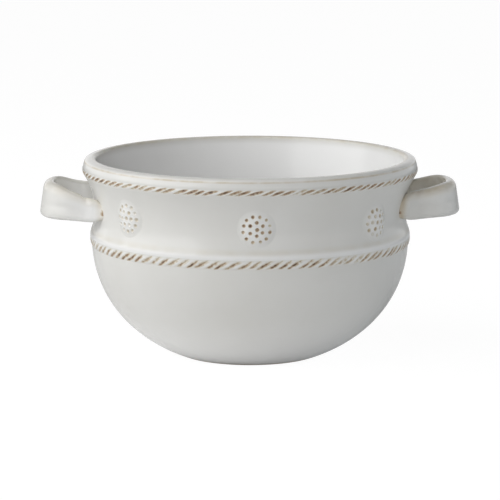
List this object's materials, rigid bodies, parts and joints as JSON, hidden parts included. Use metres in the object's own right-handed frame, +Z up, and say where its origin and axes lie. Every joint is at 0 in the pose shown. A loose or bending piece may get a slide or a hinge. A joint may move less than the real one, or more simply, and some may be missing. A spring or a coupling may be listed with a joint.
{
  "type": "two-handled bowl",
  "caption": "Deep round glazed stoneware soup bowl with a coved collar between two rope beads, round stamped bosses and a strap loop handle on each side.",
  "frame": {"origin": "on the table, under the axis of the bowl", "axes": "+Z up along the bowl's axis, handles along X, front of the picture's view towards -Y"},
  "size_m": [0.1898, 0.1524, 0.09],
  "materials": {
    "white_glaze": "gloss",
    "washed_glaze": "gloss"
  },
  "bodies": {
    "root": {"bowl_body": "white_glaze", "left_handle": "white_glaze", "right_handle": "white_glaze", "upper_rope_bead": "washed_glaze", "lower_rope_bead": "washed_glaze", "front_left_boss": "washed_glaze", "front_middle_boss": "washed_glaze", "front_right_boss": "washed_glaze", "back_left_boss": "washed_glaze", "back_middle_boss": "washed_glaze", "back_right_boss": "washed_glaze"}
  },
  "joints": []
}
